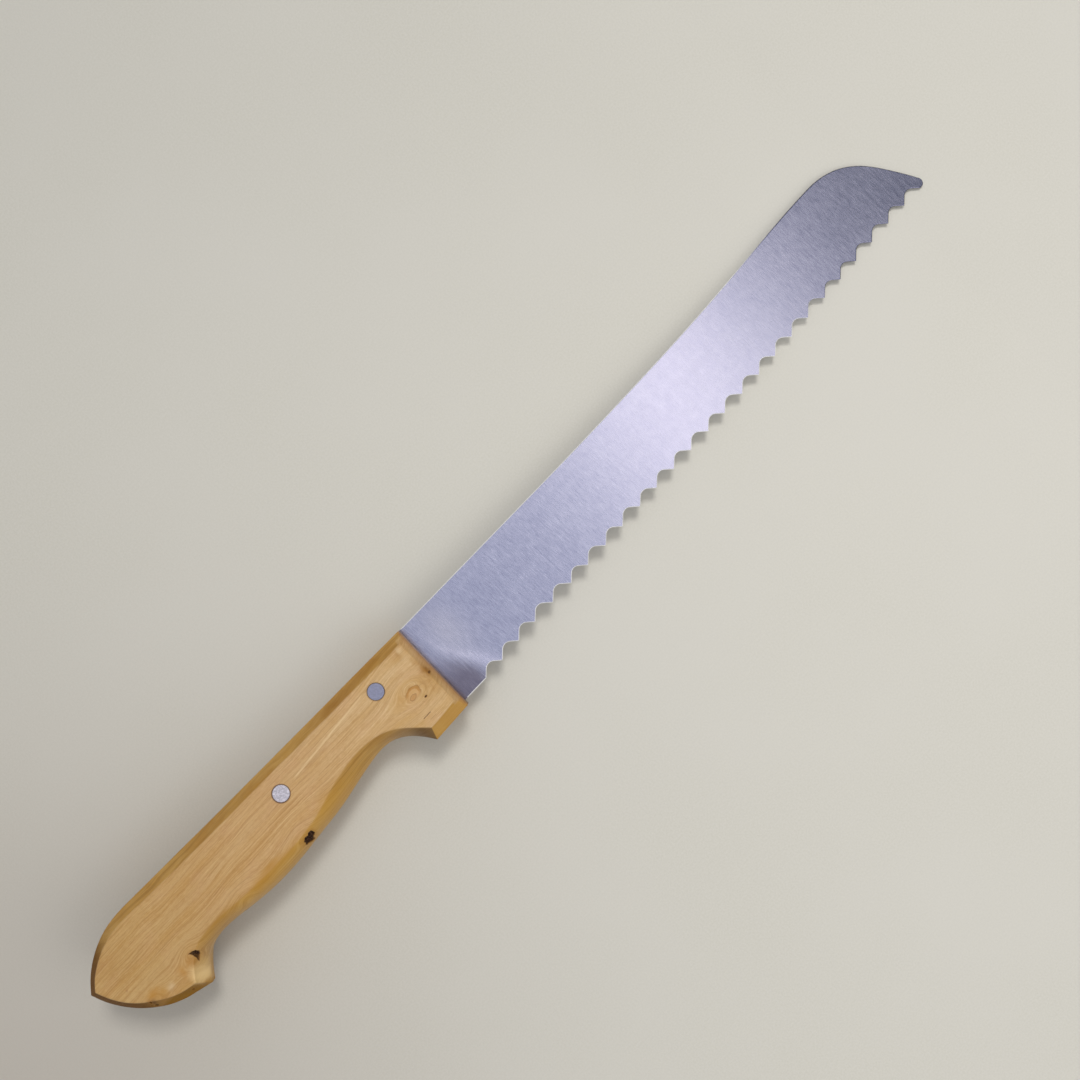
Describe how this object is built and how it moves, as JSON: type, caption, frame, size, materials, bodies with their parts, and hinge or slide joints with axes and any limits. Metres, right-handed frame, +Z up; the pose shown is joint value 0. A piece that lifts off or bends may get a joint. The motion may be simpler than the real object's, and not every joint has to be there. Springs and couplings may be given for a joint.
{
  "type": "bread knife",
  "caption": "Bread knife with a scalloped straight blade, rounded drop tip and a one-piece pistol-style wooden handle held by flush pins.",
  "frame": {"origin": "under the middle of the knife's bounding box, on the plane of the handle's lower flat, with the knife lying on its side", "axes": "+X runs along the knife to the blade's nose, +Y from the cutting edge to the spine, +Z up through the thickness; the scallops are ground from the -Z face"},
  "size_m": [0.3383, 0.034, 0.018],
  "materials": {
    "steel": "cross-brushed satin",
    "wood": "oiled, knotty",
    "pin_metal": "filed flush"
  },
  "bodies": {
    "root": {"blade": "steel", "handle": "wood", "front_pin": "pin_metal", "rear_pin": "pin_metal"}
  },
  "joints": []
}
